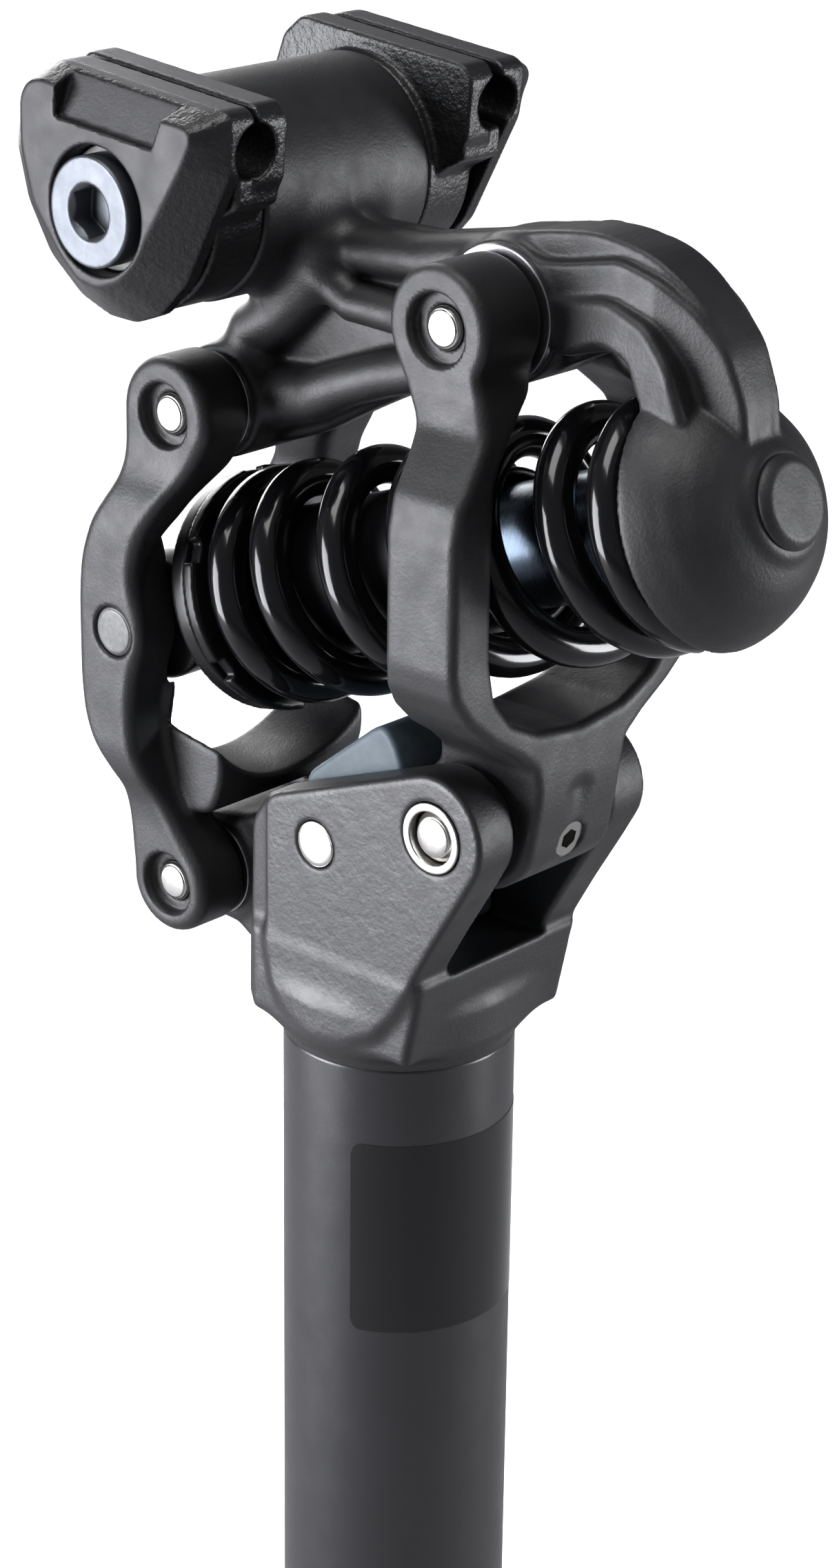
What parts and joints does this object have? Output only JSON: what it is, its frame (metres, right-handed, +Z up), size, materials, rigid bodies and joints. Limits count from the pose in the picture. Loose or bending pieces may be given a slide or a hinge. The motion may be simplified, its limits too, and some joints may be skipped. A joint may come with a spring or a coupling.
{
  "type": "suspension seatpost",
  "caption": "Bicycle seatpost whose saddle clamp rides on a coil-sprung parallelogram of two pinned links above a round tube.",
  "frame": {"origin": "centre of the tube's lower end", "axes": "+Z up the tube, +X forward (towards the spring cup), +Y to the rider's left; the bolt head is on -Y"},
  "size_m": [0.107, 0.0635, 0.3577],
  "materials": {
    "tube_black": "satin black anodised",
    "forged_black": "bead-blasted black anodised forging",
    "cast_black": "grained black forging with machined top",
    "polished_steel": "polished, nickel plated",
    "dark_steel": "matt grey",
    "bush_grey": "satin light grey",
    "elastomer": "matt blue-grey",
    "gloss_black": "gloss black",
    "spring_black": "gloss black powder coat",
    "blue_steel": "dark blue-grey",
    "bolt_zinc": "blue-grey zinc plate",
    "decal_gloss": "gloss black film"
  },
  "bodies": {
    "post": {"post_tube": "tube_black", "head": "forged_black", "dowel_pin": "polished_steel", "bump_stop": "elastomer", "axle_bushes": "polished_steel", "rear_lower_bushes": "bush_grey"},
    "front_link": {"front_link": "forged_black", "front_axle": "polished_steel", "set_screw": "polished_steel", "axle_washers": "bush_grey", "front_upper_pin": "polished_steel"},
    "rear_link": {"rear_link": "forged_black", "rear_lower_pin": "polished_steel", "rear_upper_pin": "polished_steel", "seat_pin": "dark_steel"},
    "upper_frame": {"upper_frame": "forged_black", "front_upper_bushes": "bush_grey", "rear_upper_bushes": "bush_grey", "cup_plug": "forged_black"},
    "spring_seat": {"spring_seat": "gloss_black", "guide_rod": "polished_steel", "spring": "spring_black"},
    "preload_ring": {"preload_ring": "gloss_black"},
    "guide_sleeve": {"guide_sleeve": "blue_steel"},
    "saddle_clamp": {"inner_jaw_near": "cast_black", "inner_jaw_far": "cast_black", "outer_jaw_near": "cast_black", "outer_jaw_far": "cast_black", "clamp_bolt": "bolt_zinc", "bolt_washer": "dark_steel", "clamp_nut": "bolt_zinc"}
  },
  "joints": [
    {"name": "front_link_swing", "type": "hinge", "parent": "post", "child": "front_link", "pos_m": [0.02, 0, 0.2654], "axis": [0, -1, 0], "range_deg": [0, 35], "stiffness_Nm_per_rad": 50, "springref_deg": -6.88, "deforming": ["spring"]},
    {"name": "rear_link_swing", "type": "hinge", "parent": "post", "child": "rear_link", "pos_m": [-0.0273, 0, 0.2454], "axis": [0, -1, 0], "range_deg": [0, 35]},
    {"name": "upper_frame_level", "type": "hinge", "parent": "front_link", "child": "upper_frame", "pos_m": [0.0206, 0, 0.3313], "axis": [0, -1, 0], "range_deg": [-35, 0]},
    {"name": "spring_seat_turn", "type": "hinge", "parent": "rear_link", "child": "spring_seat", "pos_m": [-0.0338, 0, 0.2808], "axis": [0, -1, 0], "range_deg": [-30.5, 0]},
    {"name": "guide_sleeve_tilt", "type": "hinge", "parent": "upper_frame", "child": "guide_sleeve", "pos_m": [0.049, 0, 0.31061], "axis": [0, -1, 0], "range_deg": [0, 4.7]},
    {"name": "preload_ring_turn", "type": "hinge", "parent": "spring_seat", "child": "preload_ring", "pos_m": [-0.0338, 0, 0.2808], "axis": [0.9409, 0, 0.3387], "range_deg": [-180, 180]},
    {"name": "saddle_tilt", "type": "hinge", "parent": "upper_frame", "child": "saddle_clamp", "pos_m": [-0.024, 0, 0.3406], "axis": [0, 1, 0], "range_deg": [-15, 15]}
  ],
  "couplings": [
    {"joint": "rear_link_swing", "follows": "front_link_swing", "ratio": 1},
    {"joint": "upper_frame_level", "follows": "front_link_swing", "ratio": -1},
    {"joint": "spring_seat_turn", "follows": "front_link_swing", "ratio": -0.868},
    {"joint": "guide_sleeve_tilt", "follows": "front_link_swing", "ratio": 0.132}
  ]
}
